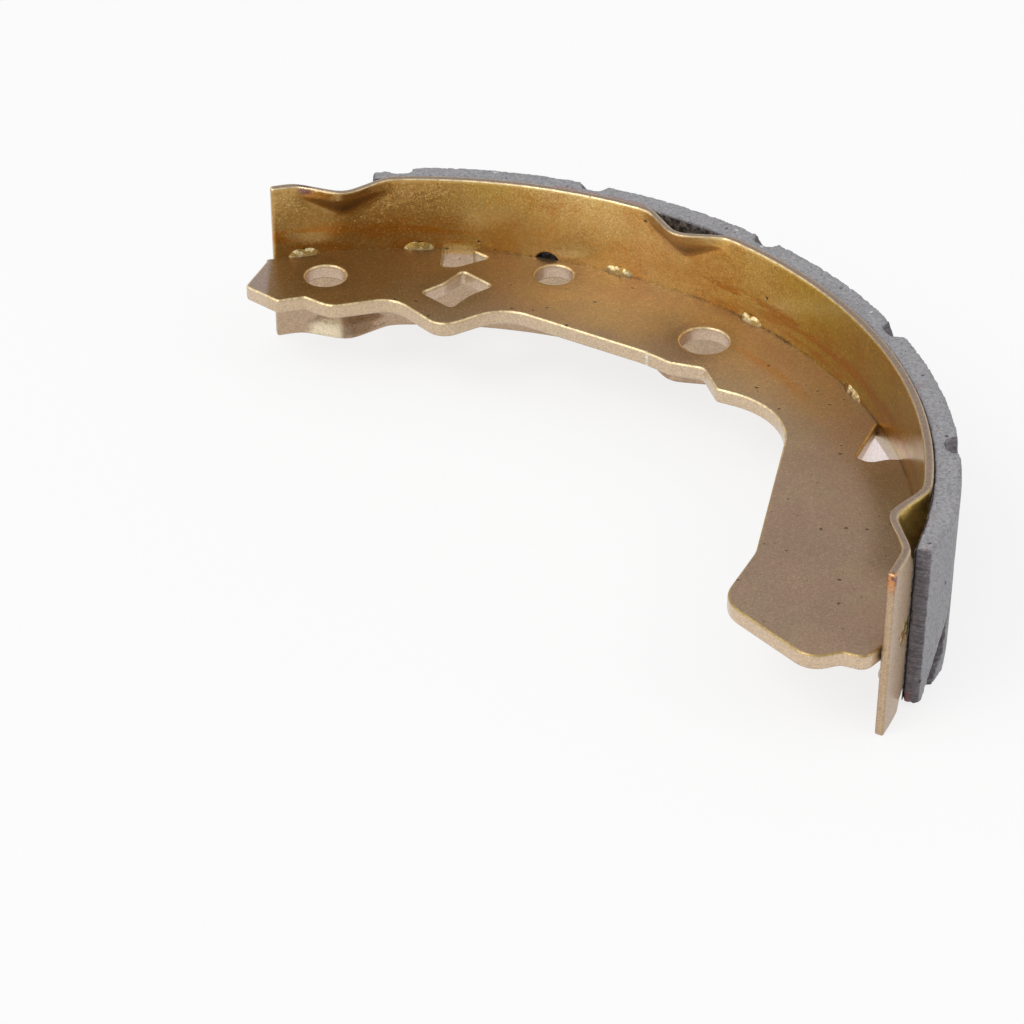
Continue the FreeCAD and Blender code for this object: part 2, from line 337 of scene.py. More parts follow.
def ramp_value(tree, value, low, high, low_out=0.0, high_out=1.0, smooth=True):
    """Maps a value from one range to another, held at both ends."""
    kind = "SMOOTHSTEP" if smooth else "LINEAR"
    inputs = {"Value": value, "From Min": low, "From Max": high}
    inputs.update({"To Min": low_out, "To Max": high_out})
    return add_node(tree, "ShaderNodeMapRange", inputs, interpolation_type=kind).outputs["Result"]


def mix_colour(tree, share, first, second, blend="MIX"):
    """Mixes two colours by a share."""
    made = tree.nodes.new("ShaderNodeMix")
    made.data_type = "RGBA"
    made.blend_type = blend
    sockets = {"Factor": made.inputs[0], "A": made.inputs[6], "B": made.inputs[7]}
    for name, value in (("Factor", share), ("A", first), ("B", second)):
        if isinstance(value, bpy.types.NodeSocket):
            tree.links.new(value, sockets[name])
        elif name == "Factor":
            sockets[name].default_value = value
        else:
            sockets[name].default_value = tuple(value) + (1.0,)
    return made.outputs[2]


def shade(tree, colour, value, share=1.0):
    """Makes a colour darker or lighter by a value round 1."""
    return mix_colour(tree, share, colour, value, "MULTIPLY")


def noise_value(tree, vector, scale, detail=3.0, roughness=0.55):
    """A noise texture's value."""
    inputs = {"Vector": vector, "Scale": scale, "Detail": detail, "Roughness": roughness}
    return add_node(tree, "ShaderNodeTexNoise", inputs).outputs["Fac"]


def vector_math(tree, operation, first, second=None, scale=None):
    """A Vector Math node's output."""
    inputs = {0: first}
    if second is not None:
        inputs[1] = second
    if scale is not None:
        inputs["Scale"] = scale
    made = add_node(tree, "ShaderNodeVectorMath", inputs, operation=operation)
    single = operation in {"DOT_PRODUCT", "LENGTH", "DISTANCE"}
    return made.outputs["Value" if single else "Vector"]


def split_parts(tree, vector):
    """The three parts of a vector."""
    return add_node(tree, "ShaderNodeSeparateXYZ", {"Vector": vector}).outputs


def level_place(tree, parts):
    """A place's X and Y without its height."""
    return add_node(tree, "ShaderNodeCombineXYZ", {"X": parts[0], "Y": parts[1]}).outputs[0]


def distance_from(tree, value, centre):
    """How far a value lies from a centre, to either side."""
    return math_node(tree, "ABSOLUTE", math_node(tree, "SUBTRACT", value, centre))


def fall_off(tree, value, near, far, share=1.0):
    """A share that is full up to the near value and nothing from the far value on."""
    return ramp_value(tree, value, near, far, share, 0.0)


def new_group(name, inputs, outputs):
    """Starts a shader node group and returns its tree, its inputs and its output node."""
    tree = bpy.data.node_groups.new(name, "ShaderNodeTree")
    for socket, kind, default in inputs:
        made = tree.interface.new_socket(socket, in_out="INPUT", socket_type=kind)
        if default is not None:
            made.default_value = default
    for socket, kind in outputs:
        tree.interface.new_socket(socket, in_out="OUTPUT", socket_type=kind)
    source = tree.nodes.new("NodeGroupInput")
    return tree, source.outputs, tree.nodes.new("NodeGroupOutput")


def use_group(tree, name, **inputs):
    """Places a node group and returns its outputs."""
    made = tree.nodes.new("ShaderNodeGroup")
    made.node_tree = bpy.data.node_groups[name]
    for socket, value in inputs.items():
        target = made.inputs[socket]
        if isinstance(value, bpy.types.NodeSocket):
            tree.links.new(value, target)
        else:
            target.default_value = value
    return made.outputs


# Shared effects


def make_specks_group():
    """Scattered specks of uneven outline."""
    tree, source, out = new_group(
        "Specks",
        [
            ("Vector", "NodeSocketVector", None),
            ("Scale", "NodeSocketFloat", 500.0),
            ("Size", "NodeSocketFloat", 0.3),
            ("Share", "NodeSocketFloat", 0.2),
        ],
        [("Mask", "NodeSocketFloat")],
    )
    wander = add_node(
        tree, "ShaderNodeTexNoise", {"Vector": source["Vector"], "Scale": 1800.0, "Detail": 2.0}
    ).outputs["Color"]
    push = vector_math(tree, "SCALE", wander, scale=0.6 * MM)
    place = vector_math(tree, "ADD", source["Vector"], push)
    cells = add_node(tree, "ShaderNodeTexVoronoi", {"Vector": place, "Scale": source["Scale"]})
    chance = add_node(tree, "ShaderNodeSeparateColor", {"Color": cells.outputs["Color"]}).outputs[0]
    chosen = math_node(tree, "LESS_THAN", chance, source["Share"])
    soft_edge = math_node(tree, "MULTIPLY", source["Size"], 0.6)
    distance = cells.outputs["Distance"]
    shape = ramp_value(tree, distance, soft_edge, source["Size"], 1.0, 0.0, smooth=False)
    tree.links.new(math_node(tree, "MULTIPLY", chosen, shape), out.inputs["Mask"])


def specks(tree, place, scale, size, share):
    """The mask of scattered specks."""
    return use_group(tree, "Specks", Vector=place, Scale=scale, Size=size, Share=share)["Mask"]


def make_flakes_group():
    """Metal flakes in paint: each small cell has its own brightness and lean."""
    tree, source, out = new_group(
        "Flakes",
        [
            ("Vector", "NodeSocketVector", None),
            ("Scale", "NodeSocketFloat", 4200.0),
            ("Normal", "NodeSocketVector", None),
            ("Lean", "NodeSocketFloat", 0.1),
        ],
        [
            ("Value", "NodeSocketFloat"),
            ("Glint", "NodeSocketFloat"),
            ("Normal", "NodeSocketVector"),
        ],
    )
    cell_inputs = {"Vector": source["Vector"], "Scale": source["Scale"]}
    cells = add_node(tree, "ShaderNodeTexVoronoi", cell_inputs).outputs["Color"]
    parts = add_node(tree, "ShaderNodeSeparateColor", {"Color": cells}).outputs
    grain = noise_value(tree, source["Vector"], 2100.0, 3.0, 0.7)
    blend = times(tree, math_node(tree, "ADD", parts[0], grain), 0.5)
    tree.links.new(blend, out.inputs["Value"])
    tree.links.new(math_node(tree, "GREATER_THAN", parts[2], 0.94), out.inputs["Glint"])
    centred = vector_math(tree, "SUBTRACT", cells, (0.5, 0.5, 0.5))
    lean = vector_math(tree, "SCALE", centred, scale=source["Lean"])
    leant = vector_math(tree, "ADD", source["Normal"], lean)
    tree.links.new(vector_math(tree, "NORMALIZE", leant), out.inputs["Normal"])


def make_edge_group():
    """Mask of sharp edges and line along rounded upper edges, where highlights are painted, and the
    normal that rounds them.
    """
    tree, source, out = new_group(
        "Edge Highlight",
        [("Radius", "NodeSocketFloat", 0.0006), ("Gain", "NodeSocketFloat", 8.0)],
        [("Mask", "NodeSocketFloat"), ("Line", "NodeSocketFloat"), ("Normal", "NodeSocketVector")],
    )
    rounded = add_node(tree, "ShaderNodeBevel", {"Radius": source["Radius"]}, samples=4)
    rounded = rounded.outputs["Normal"]
    geometry = add_node(tree, "ShaderNodeNewGeometry").outputs
    agree = vector_math(tree, "DOT_PRODUCT", rounded, geometry["True Normal"])
    turn = math_node(tree, "SUBTRACT", 1.0, agree)
    mask = math_node(tree, "MULTIPLY", turn, source["Gain"], clamp=True)
    tree.links.new(mask, out.inputs["Mask"])
    tree.links.new(rounded, out.inputs["Normal"])
    lift = split_parts(tree, geometry["Normal"])[2]
    line = times(tree, ramp_value(tree, lift, 0.3, 0.55), fall_off(tree, lift, 0.9, 0.98))
    tree.links.new(line, out.inputs["Line"])


def make_polar_group():
    """Distance from the drum's axis, angle round it, height, and a place unrolled along the rim."""
    tree, source, out = new_group(
        "Drum Place",
        [("Vector", "NodeSocketVector", None)],
        [
            ("Radius", "NodeSocketFloat"),
            ("Angle", "NodeSocketFloat"),
            ("Height", "NodeSocketFloat"),
            ("Unrolled", "NodeSocketVector"),
        ],
    )
    parts = split_parts(tree, source["Vector"])
    length = vector_math(tree, "LENGTH", level_place(tree, parts))
    angle = math_node(tree, "ARCTAN2", parts[1], parts[0])
    along = math_node(tree, "MULTIPLY", angle, DRUM_RADIUS)
    unrolled = add_node(tree, "ShaderNodeCombineXYZ", {"X": along, "Y": length, "Z": parts[2]})
    tree.links.new(length, out.inputs["Radius"])
    tree.links.new(angle, out.inputs["Angle"])
    tree.links.new(parts[2], out.inputs["Height"])
    tree.links.new(unrolled.outputs[0], out.inputs["Unrolled"])


def make_groups():
    """All shared effects, made once."""
    make_specks_group()
    make_flakes_group()
    make_edge_group()
    make_polar_group()


# Materials


def start_material(name):
    """A new material with its tree, its Principled shader and the object's coordinates."""
    material = bpy.data.materials.new(name)
    material.use_nodes = True
    tree = material.node_tree
    shader = next(n for n in tree.nodes if n.type == "BSDF_PRINCIPLED")
    place = add_node(tree, "ShaderNodeTexCoord").outputs["Object"]
    return material, tree, shader, place


def bump(tree, shader, height, distance, strength=1.0, normal=None):
    """Bump from a height in units of the distance."""
    inputs = {"Height": height, "Distance": distance, "Strength": strength}
    if normal is not None:
        inputs["Normal"] = normal
    made = add_node(tree, "ShaderNodeBump", inputs)
    tree.links.new(made.outputs["Normal"], shader.inputs["Normal"])


def lay_paint(tree, shader, place, steel, colour, edge, highlight_share, pit_share, sheen):
    """Lays flakes, painted shade in pits, painted highlights on edges and glinting flakes, and a
    clear coat over a paint's colour.
    """
    flakes = use_group(tree, "Flakes", Vector=place, Scale=4200.0, Normal=edge["Normal"], Lean=0.12)
    pits = specks(tree, place, 300.0, 0.12, pit_share)
    dots = specks(tree, place, 420.0, 0.1, pit_share)
    pits = math_node(tree, "MAXIMUM", pits, times(tree, dots, 0.6))
    patches = noise_value(tree, place, 140.0, 3.0)

    low, high = 1.0 - FLAKE_CONTRAST, 1.0 + FLAKE_CONTRAST
    light = ramp_value(tree, flakes["Value"], 0.25, 0.75, low, high, smooth=False)
    colour = shade(tree, colour, light)
    # Painted glints: a few flakes take the highlight colour
    glint = times(tree, flakes["Glint"], FLAKE_CONTRAST * 1.3)
    colour = mix_colour(tree, glint, colour, steel.highlight_gold)
    # Painted highlights along the rounded upper edges and the sharp edges
    bright = math_node(tree, "MAXIMUM", edge["Line"], times(tree, edge["Mask"], 0.5))
    colour = mix_colour(tree, times(tree, bright, highlight_share), colour, steel.highlight_gold)
    # Painted shade in the paint's pits
    colour = mix_colour(tree, times(tree, pits, 0.85), colour, PIT_SHADE_BROWN)
    tree.links.new(colour, shader.inputs["Base Color"])

    metallic, glossy, dull = sheen
    tree.links.new(ramp_value(tree, patches, 0.3, 0.7, glossy, dull), shader.inputs["Roughness"])
    shader.inputs["Metallic"].default_value = metallic
    shader.inputs["Coat Weight"].default_value = 0.5
    shader.inputs["Coat Roughness"].default_value = 0.22

    peel = noise_value(tree, place, 800.0, 2.0)
    height = math_node(tree, "SUBTRACT", times(tree, peel, 0.8), times(tree, pits, 3.0))
    bump(tree, shader, height, 0.12 * MM, 0.6, flakes["Normal"])


def tone_web(tree, steel, angle, place, blush):
    """Colours of the web: tan with rose clouds, golden midway, brown at the narrow end."""
    cloudy = noise_value(tree, place, 55.0, 4.0, 0.6)
    golden = ramp_value(tree, angle, 0.15, 0.9, 0.05, 0.18)
    golden = times(tree, ramp_value(tree, cloudy, 0.35, 0.65, 0.3, 1.0), golden)
    colour = mix_colour(tree, golden, steel.paint_tan, steel.gold_paint_and_reflection)
    blushed = math_node(tree, "ADD", blush, fall_off(tree, angle, 0.1, 0.5, 0.12))
    rose = [part * share for part, share in zip(steel.paint_tan, (1.02, 0.9, 0.98))]
    colour = mix_colour(tree, ramp_value(tree, blushed, 0.45, 0.65, 0.0, 0.5), colour, rose)
    brown = ramp_value(tree, angle, 1.1, 1.75, 0.0, 0.85)
    colour = mix_colour(tree, brown, colour, NARROW_WEB_BROWN)
    colour = shade(tree, colour, ramp_value(tree, cloudy, 0.35, 0.65, 0.95, 1.04))
    return shade(tree, colour, ramp_value(tree, angle, 0.5, 0.9, 1.0, 0.84))


def stain_and_shade_web(tree, steel, drum, blush, colour):
    """A run of lacquer on the web, and a painted shadow beside the wide end's dent."""
    beside = distance_from(tree, drum["Radius"], WEB_RUN_RADIUS)
    run = fall_off(tree, beside, 0.3 * MM, 1.8 * MM, 0.4)
    run = times(tree, run, ramp_value(tree, blush, 0.4, 0.6))
    along = fall_off(tree, distance_from(tree, drum["Angle"], WEB_RUN_ANGLE), 0.1, 0.22)
    colour = mix_colour(tree, times(tree, run, along), colour, steel.paint_run)
    # Painted shadow on the web beside the wide end's dent
    along = fall_off(tree, distance_from(tree, drum["Angle"], WIDE_DENT_SHADE_ANGLE), 0.14, 0.26)
    shaded = times(tree, along, ramp_value(tree, drum["Radius"], 83.0 * MM, 88.0 * MM), 0.55)
    return mix_colour(tree, shaded, colour, WEB_SHADE_BROWN)


def ring_holes(tree, level, colour):
    """A darker ring round each hole of the web, and the mask of the holes' walls."""
    walls = 0.0
    for angle, depth, radius in WEB_HOLES:
        away = RIM_INNER_RADIUS - depth
        centre = (away * math.cos(math.radians(angle)), away * math.sin(math.radians(angle)), 0.0)
        distance = vector_math(tree, "DISTANCE", level, centre)
        border = radius + 0.5 * MM
        wall = fall_off(tree, distance, border, border + 0.4 * MM)
        walls = math_node(tree, "MAXIMUM", walls, wall)
        ring = ramp_value(tree, distance, border, border + 3.5 * MM, 0.86, 1.0)
        colour = shade(tree, colour, ring)
    return walls, colour


def scratch_web(tree, drum, place, parts, colour):
    """A pale scratch across the web's free edge."""
    scratch = fall_off(tree, distance_from(tree, parts[0], SCRATCH_X), 0.05 * MM, 0.35 * MM)
    broken = ramp_value(tree, noise_value(tree, place, 1500.0), 0.4, 0.6, 0.25, 0.8)
    on_free_side = fall_off(tree, drum["Radius"], 70.9 * MM, 71.3 * MM)
    on_middle = ramp_value(tree, drum["Angle"], 0.7, 0.75)
    scratch = times(tree, scratch, broken, on_free_side, on_middle)
    return mix_colour(tree, scratch, colour, SCRATCH_WHITE)


def make_web_paint(steel):
    """Bronze metallic paint of the web, with a painted reflection of the floor on its side faces and
    hole walls.
    """
    material, tree, shader, place = start_material("web_paint")
    drum = use_group(tree, "Drum Place", Vector=place)
    edge = use_group(tree, "Edge Highlight", Radius=0.6 * MM, Gain=6.0)
    parts = split_parts(tree, place)
    blush = noise_value(tree, place, 130.0, 3.0, 0.6)
    colour = tone_web(tree, steel, drum["Angle"], place, blush)
    colour = stain_and_shade_web(tree, steel, drum, blush, colour)
    far_tip = fall_off(tree, parts[0], FAR_TIP_X, FAR_TIP_X + 1.2 * MM, 0.9)
    colour = mix_colour(tree, far_tip, colour, FAR_TIP_ROSE)
    walls, colour = ring_holes(tree, level_place(tree, parts), colour)

    # Painted reflection of the floor: paler tan on the side faces, rose on the holes' walls
    tilt = math_node(tree, "ABSOLUTE", split_parts(tree, edge["Normal"])[2])
    side = fall_off(tree, tilt, 0.3, 0.7, 0.75)
    colour = mix_colour(tree, side, colour, SIDE_FACE_REFLECTION_TAN)
    colour = mix_colour(tree, times(tree, side, walls), colour, HOLE_WALL_REFLECTION_ROSE)
    # Painted shade: darker gold on the rounded upper edges at the front
    front = fall_off(tree, drum["Angle"], 0.1, 0.3, 0.85)
    colour = mix_colour(tree, times(tree, edge["Line"], front), colour, FRONT_EDGE_SHADE_GOLD)
    colour = scratch_web(tree, drum, place, parts, colour)

    # Where the web's painted edge highlight shows: its upper edges, broken, faint at the front
    upper = ramp_value(tree, drum["Height"], WEB_TOP - 0.9 * MM, WEB_TOP - 0.3 * MM, 0.05, 1.0)
    broken = ramp_value(tree, noise_value(tree, place, 900.0), 0.4, 0.6, 0.5, 1.0)
    highlight_share = times(tree, upper, broken, ramp_value(tree, drum["Angle"], 0.1, 0.3, 0.15, 1.0))
    pit_share = fall_off(tree, side, 0.0, 0.5, 0.8)
    pit_share = times(tree, pit_share, ramp_value(tree, drum["Angle"], 0.3, 0.7, 1.0, 0.45))
    lay_paint(tree, shader, place, steel, colour, edge, highlight_share, pit_share, WEB_SHEEN)
    return material


def tone_rim(tree, steel, angle, place, golden):
    """Colours of the rim's wall: gold, partly a painted reflection of the web, lighter midway with a
    painted reflection of the bright side, deep at the wide end, brown at the other.
    """
    cloudy = noise_value(tree, place, 40.0, 4.0, 0.6)
    # Gold on the wall above the web, partly a painted reflection of the web
    gold_share = times(tree, ramp_value(tree, cloudy, 0.32, 0.62, 0.7, 1.0), golden)
    # Painted reflection of the bright side of the studio: a lighter, less golden patch midway along
    # the wall
    pale = fall_off(tree, distance_from(tree, angle, LIT_WALL_ANGLE), 0.22, 0.46)
    gold_share = times(tree, gold_share, ramp_value(tree, pale, 0.0, 1.0, 1.0, 0.6, smooth=False))
    colour = mix_colour(tree, gold_share, steel.paint_tan, steel.gold_paint_and_reflection)
    deep = times(tree, golden, fall_off(tree, angle, 0.75, 0.95, 0.4))
    colour = mix_colour(tree, deep, colour, DEEP_GOLD)
    brown = times(tree, golden, ramp_value(tree, angle, 1.24, 1.58, 0.0, 0.68))
    colour = mix_colour(tree, brown, colour, NARROW_RIM_BROWN)
    return shade(tree, colour, ramp_value(tree, pale, 0.0, 1.0, 0.98, 1.31, smooth=False), golden)


def run_rim(tree, steel, drum, clouds, golden, colour):
    """Orange-brown runs of lacquer on the rim's wall, thickest in a band above the web."""
    unrolled = {"Vector": drum["Unrolled"], "Scale": (1.0, 1.0, 4.5)}
    squeezed = add_node(tree, "ShaderNodeMapping", unrolled).outputs["Vector"]
    streaks = noise_value(tree, squeezed, 85.0, 4.0, 0.55)
    low = fall_off(tree, drum["Height"], WEB_TOP + 5.0 * MM, WEB_TOP + 10.5 * MM)
    runs = times(tree, low, ramp_value(tree, streaks, 0.46, 0.6), 0.75)
    band = fall_off(tree, distance_from(tree, drum["Height"], RUN_BAND_HEIGHT), 0.3 * MM, 2.4 * MM)
    band = times(tree, band, ramp_value(tree, streaks, 0.38, 0.5))
    runs = math_node(tree, "MAXIMUM", runs, band)
    calm = distance_from(tree, drum["Angle"], CALM_WALL_ANGLE)
    runs = times(tree, runs, ramp_value(tree, calm, 0.2, 0.34, 0.3, 1.0))
    stain = times(tree, ramp_value(tree, clouds, 0.48, 0.64), 0.5)
    orange = times(tree, math_node(tree, "MAXIMUM", runs, stain), golden, 0.9)
    return mix_colour(tree, orange, colour, steel.paint_run)


def seam_rim(tree, drum, clouds, inside, colour):
    """A dark broken line where the web meets the rim."""
    seam = fall_off(tree, distance_from(tree, drum["Height"], SEAM_HEIGHT), 0.15 * MM, 0.55 * MM)
    seam = times(tree, inside, seam, ramp_value(tree, clouds, 0.4, 0.6))
    seam = times(tree, seam, ramp_value(tree, drum["Angle"], 0.8, 1.0, 0.65, 0.2))
    return mix_colour(tree, seam, colour, SEAM_BROWN)


def paint_lower_rim_light(tree, drum, dent, inside, colour):
    """A painted reflection of the floor on the wall under the web's wide half, and a painted
    highlight on a flank of the lower narrow dent.
    """
    under = fall_off(tree, drum["Height"], WEB_TOP - 4.2 * MM, WEB_TOP - 3.4 * MM)
    wall = times(tree, inside, under, fall_off(tree, drum["Angle"], 0.3, 0.45, 0.95))
    wall = times(tree, wall, ramp_value(tree, drum["Angle"], 0.0, 0.08))
    colour = mix_colour(tree, wall, colour, LOWER_WALL_REFLECTION_ROSE)
    turn = math.radians(0.4)
    lit = (NARROW_DENT_ANGLE - turn, NARROW_DENT_ANGLE + turn)
    flank = times(tree, dent, under, ramp_value(tree, drum["Angle"], *lit, 0.0, 0.7))
    return mix_colour(tree, flank, colour, LOWER_DENT_HIGHLIGHT_CREAM)


def stain_rim_ends(tree, drum, spots, colour):
    """An orange corner with plum spots at the wide end, and a plum drip at the narrow end."""
    angle, height = drum["Angle"], drum["Height"]
    corner = fall_off(tree, angle, math.radians(WIDE_END + 0.1), math.radians(WIDE_END + 0.8))
    upper = ramp_value(tree, height, RIM_TOP - 5.0 * MM, RIM_TOP - 1.5 * MM)
    corner = times(tree, corner, upper)
    colour = mix_colour(tree, times(tree, corner, 0.75), colour, CORNER_ORANGE)
    drip = fall_off(tree, distance_from(tree, angle, DRIP_ANGLE), 0.006, 0.022)
    upper = ramp_value(tree, height, RIM_TOP - 2.2 * MM, RIM_TOP - 1.0 * MM)
    drip = times(tree, drip, upper)
    spotted = times(tree, corner, ramp_value(tree, spots, 0.5, 0.56))
    plum = math_node(tree, "MAXIMUM", spotted, drip)
    return mix_colour(tree, times(tree, plum, 0.85), colour, CORNER_PLUM)


def make_rim_paint(steel):
    """Bronze metallic paint of the rim: gold, partly a painted reflection of the web, with
    orange-brown runs inside, plain outside.
    """
    material, tree, shader, place = start_material("rim_paint")
    drum = use_group(tree, "Drum Place", Vector=place)
    edge = use_group(tree, "Edge Highlight", Radius=0.8 * MM, Gain=5.0)
    clouds = noise_value(tree, place, 75.0, 5.0, 0.65)
    spots = noise_value(tree, place, 700.0, 3.0)

    radius, angle, height = drum["Radius"], drum["Angle"], drum["Height"]
    inside = fall_off(tree, radius, RIM_OUTER_RADIUS - 0.6 * MM, RIM_OUTER_RADIUS - 0.2 * MM)
    above_web = ramp_value(tree, height, WEB_TOP - 1.5 * MM, WEB_TOP)
    off_top = fall_off(tree, height, RIM_TOP - 0.35 * MM, RIM_TOP - 0.1 * MM)
    off_end = ramp_value(tree, angle, math.radians(WIDE_END + 0.1), math.radians(WIDE_END + 0.5))
    golden = times(tree, inside, above_web, off_top, off_end)
    colour = tone_rim(tree, steel, angle, place, golden)
    colour = run_rim(tree, steel, drum, clouds, golden, colour)

    radial = vector_math(tree, "NORMALIZE", level_place(tree, split_parts(tree, place)))
    outward = vector_math(tree, "DOT_PRODUCT", radial, edge["Normal"])
    inner = fall_off(tree, radius, RIM_INNER_RADIUS - 1.4 * MM, RIM_INNER_RADIUS - 0.2 * MM)
    dent = times(tree, inner, fall_off(tree, outward, -0.3, 0.1))
    # Painted highlight: bright gold on the outer pockets of the dents
    pocket = times(tree, inside, ramp_value(tree, outward, 0.1, 0.3), off_top, 0.8)
    colour = mix_colour(tree, pocket, colour, POCKET_HIGHLIGHT_GOLD)
    # Painted shade in the lower part of the dents' inner bulges
    shaded_foot = fall_off(tree, height, RIM_TOP - 6.0 * MM, RIM_TOP - 1.5 * MM)
    colour = mix_colour(tree, times(tree, dent, shaded_foot, above_web, 0.82), colour, DENT_SHADE_BROWN)
    colour = seam_rim(tree, drum, clouds, inside, colour)
    colour = mix_colour(tree, fall_off(tree, off_top, 0.0, 1.0, 0.6), colour, CROWN_TAUPE)
    colour = paint_lower_rim_light(tree, drum, dent, inside, colour)
    colour = stain_rim_ends(tree, drum, spots, colour)

    # Where the rim's painted edge highlight shows: its top edges, broken
    top = ramp_value(tree, height, RIM_TOP - 0.9 * MM, RIM_TOP - 0.3 * MM)
    top = times(tree, top, ramp_value(tree, angle, 0.45, 0.8, 0.4, 1.0))
    highlight_share = times(tree, top, ramp_value(tree, spots, 0.4, 0.6, 0.5, 1.0))
    lay_paint(tree, shader, place, steel, colour, edge, highlight_share, 0.06, RIM_SHEEN)
    tree.links.new(ramp_value(tree, inside, 0.0, 1.0, 0.35, 0.95), shader.inputs["Metallic"])
    sheen = shader.inputs["Roughness"].links[0].from_socket
    duller = add_node(tree, "ShaderNodeMath", {0: inside, 1: -0.3, 2: 0.3}, operation="MULTIPLY_ADD")
    roughness = math_node(tree, "ADD", sheen, duller.outputs[0])
    tree.links.new(roughness, shader.inputs["Roughness"])
    return material


def make_weld_metal():
    """Painted weld metal: glossy gold beads with a ripple, painted highlights on its raised parts
    and painted shade round their base on the web.
    """
    material, tree, shader, place = start_material("weld_paint")
    drum = use_group(tree, "Drum Place", Vector=place)
    ripple = noise_value(tree, place, 700.0, 2.0)
    fine = noise_value(tree, place, 2600.0, 3.0)
    # Painted highlights on the ripple's raised parts, darker gold between
    highlight_crest = ramp_value(tree, ripple, 0.46, 0.6)
    colour = mix_colour(tree, highlight_crest, (0.4, 0.23, 0.04), (0.95, 0.75, 0.4))
    # Painted shade round the beads' base where they meet the web
    shaded_foot = fall_off(tree, drum["Height"], WEB_TOP + 0.1 * MM, WEB_TOP + 1.1 * MM, 0.7)
    on_web = fall_off(tree, drum["Radius"], RIM_INNER_RADIUS, RIM_INNER_RADIUS + 0.5 * MM)
    colour = mix_colour(tree, times(tree, shaded_foot, on_web), colour, (0.24, 0.15, 0.05))
    colour = shade(tree, colour, ramp_value(tree, fine, 0.3, 0.7, 0.85, 1.15))
    tree.links.new(colour, shader.inputs["Base Color"])
    tree.links.new(ramp_value(tree, ripple, 0.3, 0.7, 0.16, 0.3), shader.inputs["Roughness"])
    skin = RIM_OUTER_RADIUS - 1.2 * MM
    inward = fall_off(tree, drum["Radius"], skin, skin + 0.6 * MM)
    tree.links.new(inward, shader.inputs["Metallic"])
    shader.inputs["Coat Weight"].default_value = 0.7
    shader.inputs["Coat Roughness"].default_value = 0.1
    bump(tree, shader, ripple, 0.35 * MM, 0.5)
    return material


def make_friction(friction):
    """Moulded lining: grey resin with mineral, brass and rubber specks, darker where sawn."""
    material, tree, shader, place = start_material("friction_lining")
    drum = use_group(tree, "Drum Place", Vector=place)
    cut = add_node(tree, "ShaderNodeAttribute", attribute_name="cut").outputs["Fac"]
    chipped = add_node(tree, "ShaderNodeAttribute", attribute_name="chipped").outputs["Fac"]
    cloudy = noise_value(tree, place, 120.0, 4.0, 0.65)
    warm = noise_value(tree, place, 260.0, 3.0, 0.6)
    grain = noise_value(tree, place, 1600.0, 4.0, 0.8)
    stretched = add_node(tree, "ShaderNodeMapping", {"Vector": place, "Scale": (0.14, 0.14, 1.0)})
    strokes = noise_value(tree, stretched.outputs["Vector"], 2600.0, 2.0, 0.6)
    dark = specks(tree, place, 1500.0, 0.36, 0.28)
    holes = specks(tree, place, 480.0, 0.2, 0.12)
    dust = specks(tree, place, 1500.0, 0.32, 0.15)
    flecks = specks(tree, place, 420.0, 0.23, 0.12)
    red = specks(tree, place, 900.0, 0.26, 0.025)

    grey = friction.stone_grey
    warm_grey = [part * share for part, share in zip(grey, (1.05, 1.0, 0.96))]
    base = mix_colour(tree, cloudy, [part * 0.85 for part in grey], [part * 1.15 for part in grey])
    base = mix_colour(tree, ramp_value(tree, warm, 0.45, 0.65, 0.0, 0.4), base, warm_grey)
    sawn = math_node(tree, "MAXIMUM", cut, times(tree, chipped, 0.35))
    base = mix_colour(tree, times(tree, sawn, 0.92), base, friction.stone_dark)
    base = shade(tree, base, ramp_value(tree, grain, 0.32, 0.68, 0.62, 1.4, smooth=False))
    saw_marks = ramp_value(tree, strokes, 0.35, 0.65, 0.6, 1.5, smooth=False)
    base = shade(tree, base, saw_marks, times(tree, cut, 0.8))
    base = mix_colour(tree, times(tree, dark, 0.55), base, (0.07, 0.06, 0.07))
    base = mix_colour(tree, times(tree, holes, 0.8), base, (0.04, 0.035, 0.04))
    light = ramp_value(tree, cut, 0.0, 1.0, 0.7, 0.28)
    base = mix_colour(tree, times(tree, dust, light), base, (0.62, 0.6, 0.56))
    base = mix_colour(tree, times(tree, flecks, light), base, (0.8, 0.78, 0.72))
    base = mix_colour(tree, times(tree, red, 0.8), base, (0.35, 0.07, 0.05))

    residue = noise_value(tree, place, 130.0, 3.0, 0.6)
    skin = RIM_OUTER_RADIUS + 0.5 * MM
    near_glue = fall_off(tree, drum["Radius"], skin, skin + 1.3 * MM)
    window = fall_off(tree, distance_from(tree, drum["Angle"], RED_GLUE_ANGLE), 0.08, 0.16, 0.28)
    glue = ramp_value(tree, math_node(tree, "ADD", residue, window), 0.65, 0.72)
    base = mix_colour(tree, times(tree, near_glue, glue, 0.75), base, (0.38, 0.085, 0.075))
    tree.links.new(base, shader.inputs["Base Color"])
    tree.links.new(ramp_value(tree, grain, 0.2, 0.8, 0.6, 0.85), shader.inputs["Roughness"])
    height = math_node(tree, "SUBTRACT", grain, times(tree, holes, 0.9))
    height = math_node(tree, "SUBTRACT", height, times(tree, dark, 0.3))
    height = math_node(tree, "ADD", height, times(tree, strokes, cut, 0.8))
    bump(tree, shader, height, 0.2 * MM, 0.8)
    return material


